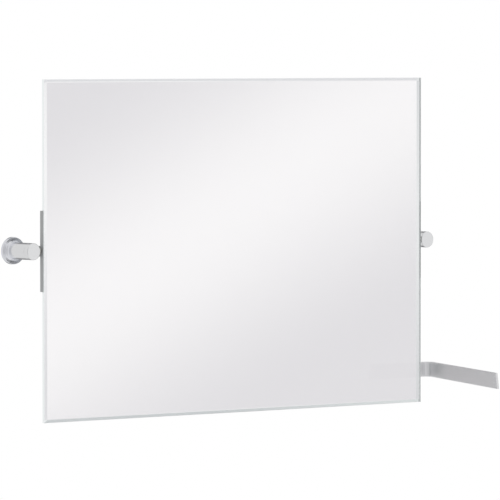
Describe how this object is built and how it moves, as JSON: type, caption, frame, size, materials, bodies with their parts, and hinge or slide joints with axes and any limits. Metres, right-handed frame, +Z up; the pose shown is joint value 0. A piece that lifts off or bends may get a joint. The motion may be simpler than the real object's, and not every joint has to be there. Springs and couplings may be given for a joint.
{
  "type": "pivot wall mirror",
  "caption": "Wide bevelled wall mirror that tilts on friction pivots in a round bracket at each side, moved by a flat bent lever at the lower right.",
  "frame": {"origin": "on the wall's surface, midway between the two brackets, at the height of the tilting axis", "axes": "+X along the wall, to the right of someone facing the mirror; +Y into the wall, so the mirror faces -Y; +Z up"},
  "size_m": [0.88, 0.2288, 0.55],
  "materials": {
    "glass": "polished, with a ground and polished bevel",
    "silvering": "mirror silver",
    "film": "matt safety film over the paint",
    "aluminium": "satin anodised",
    "foam_tape": "matt foam tape",
    "nylon": "natural nylon",
    "satin_steel": "satin",
    "screw_steel": "plain stainless",
    "rubber": "matt rubber",
    "zinc_steel": "zinc plated",
    "chrome": "polished chrome",
    "satin_chrome": "chrome, softly polished",
    "pin_steel": "ground",
    "spring_steel": "phosphated spring steel"
  },
  "bodies": {
    "wall_side": {"wall_plate_left": "zinc_steel", "wall_plate_right": "zinc_steel", "rosette_left": "chrome", "rosette_right": "chrome", "post_left": "satin_chrome", "post_right": "satin_chrome", "post_screw_left": "screw_steel", "post_screw_right": "screw_steel", "pivot_pin_left": "pin_steel", "pivot_pin_right": "pin_steel", "pin_screw_left": "screw_steel", "pin_screw_right": "screw_steel", "thrust_washer_left": "zinc_steel", "thrust_washer_right": "zinc_steel", "disc_spring_left": "spring_steel", "disc_spring_right": "spring_steel", "lock_nut_left": "zinc_steel", "lock_nut_right": "zinc_steel"},
    "mirror": {"mirror_glass": "glass", "silver_layer": "silvering", "safety_film": "film", "side_rail_left": "aluminium", "side_rail_right": "aluminium", "rail_tape_left": "foam_tape", "rail_tape_right": "foam_tape", "pivot_bush_left": "nylon", "pivot_bush_right": "nylon", "lever_base": "aluminium", "lever_tape": "foam_tape", "lever_arm": "satin_steel", "lever_screws": "screw_steel", "wall_buffers": "rubber"}
  },
  "joints": [
    {"name": "mirror_tilt", "type": "hinge", "parent": "wall_side", "child": "mirror", "pos_m": [0, -0.047, 0], "axis": [1, 0, 0], "range_deg": [-10, 10]}
  ]
}
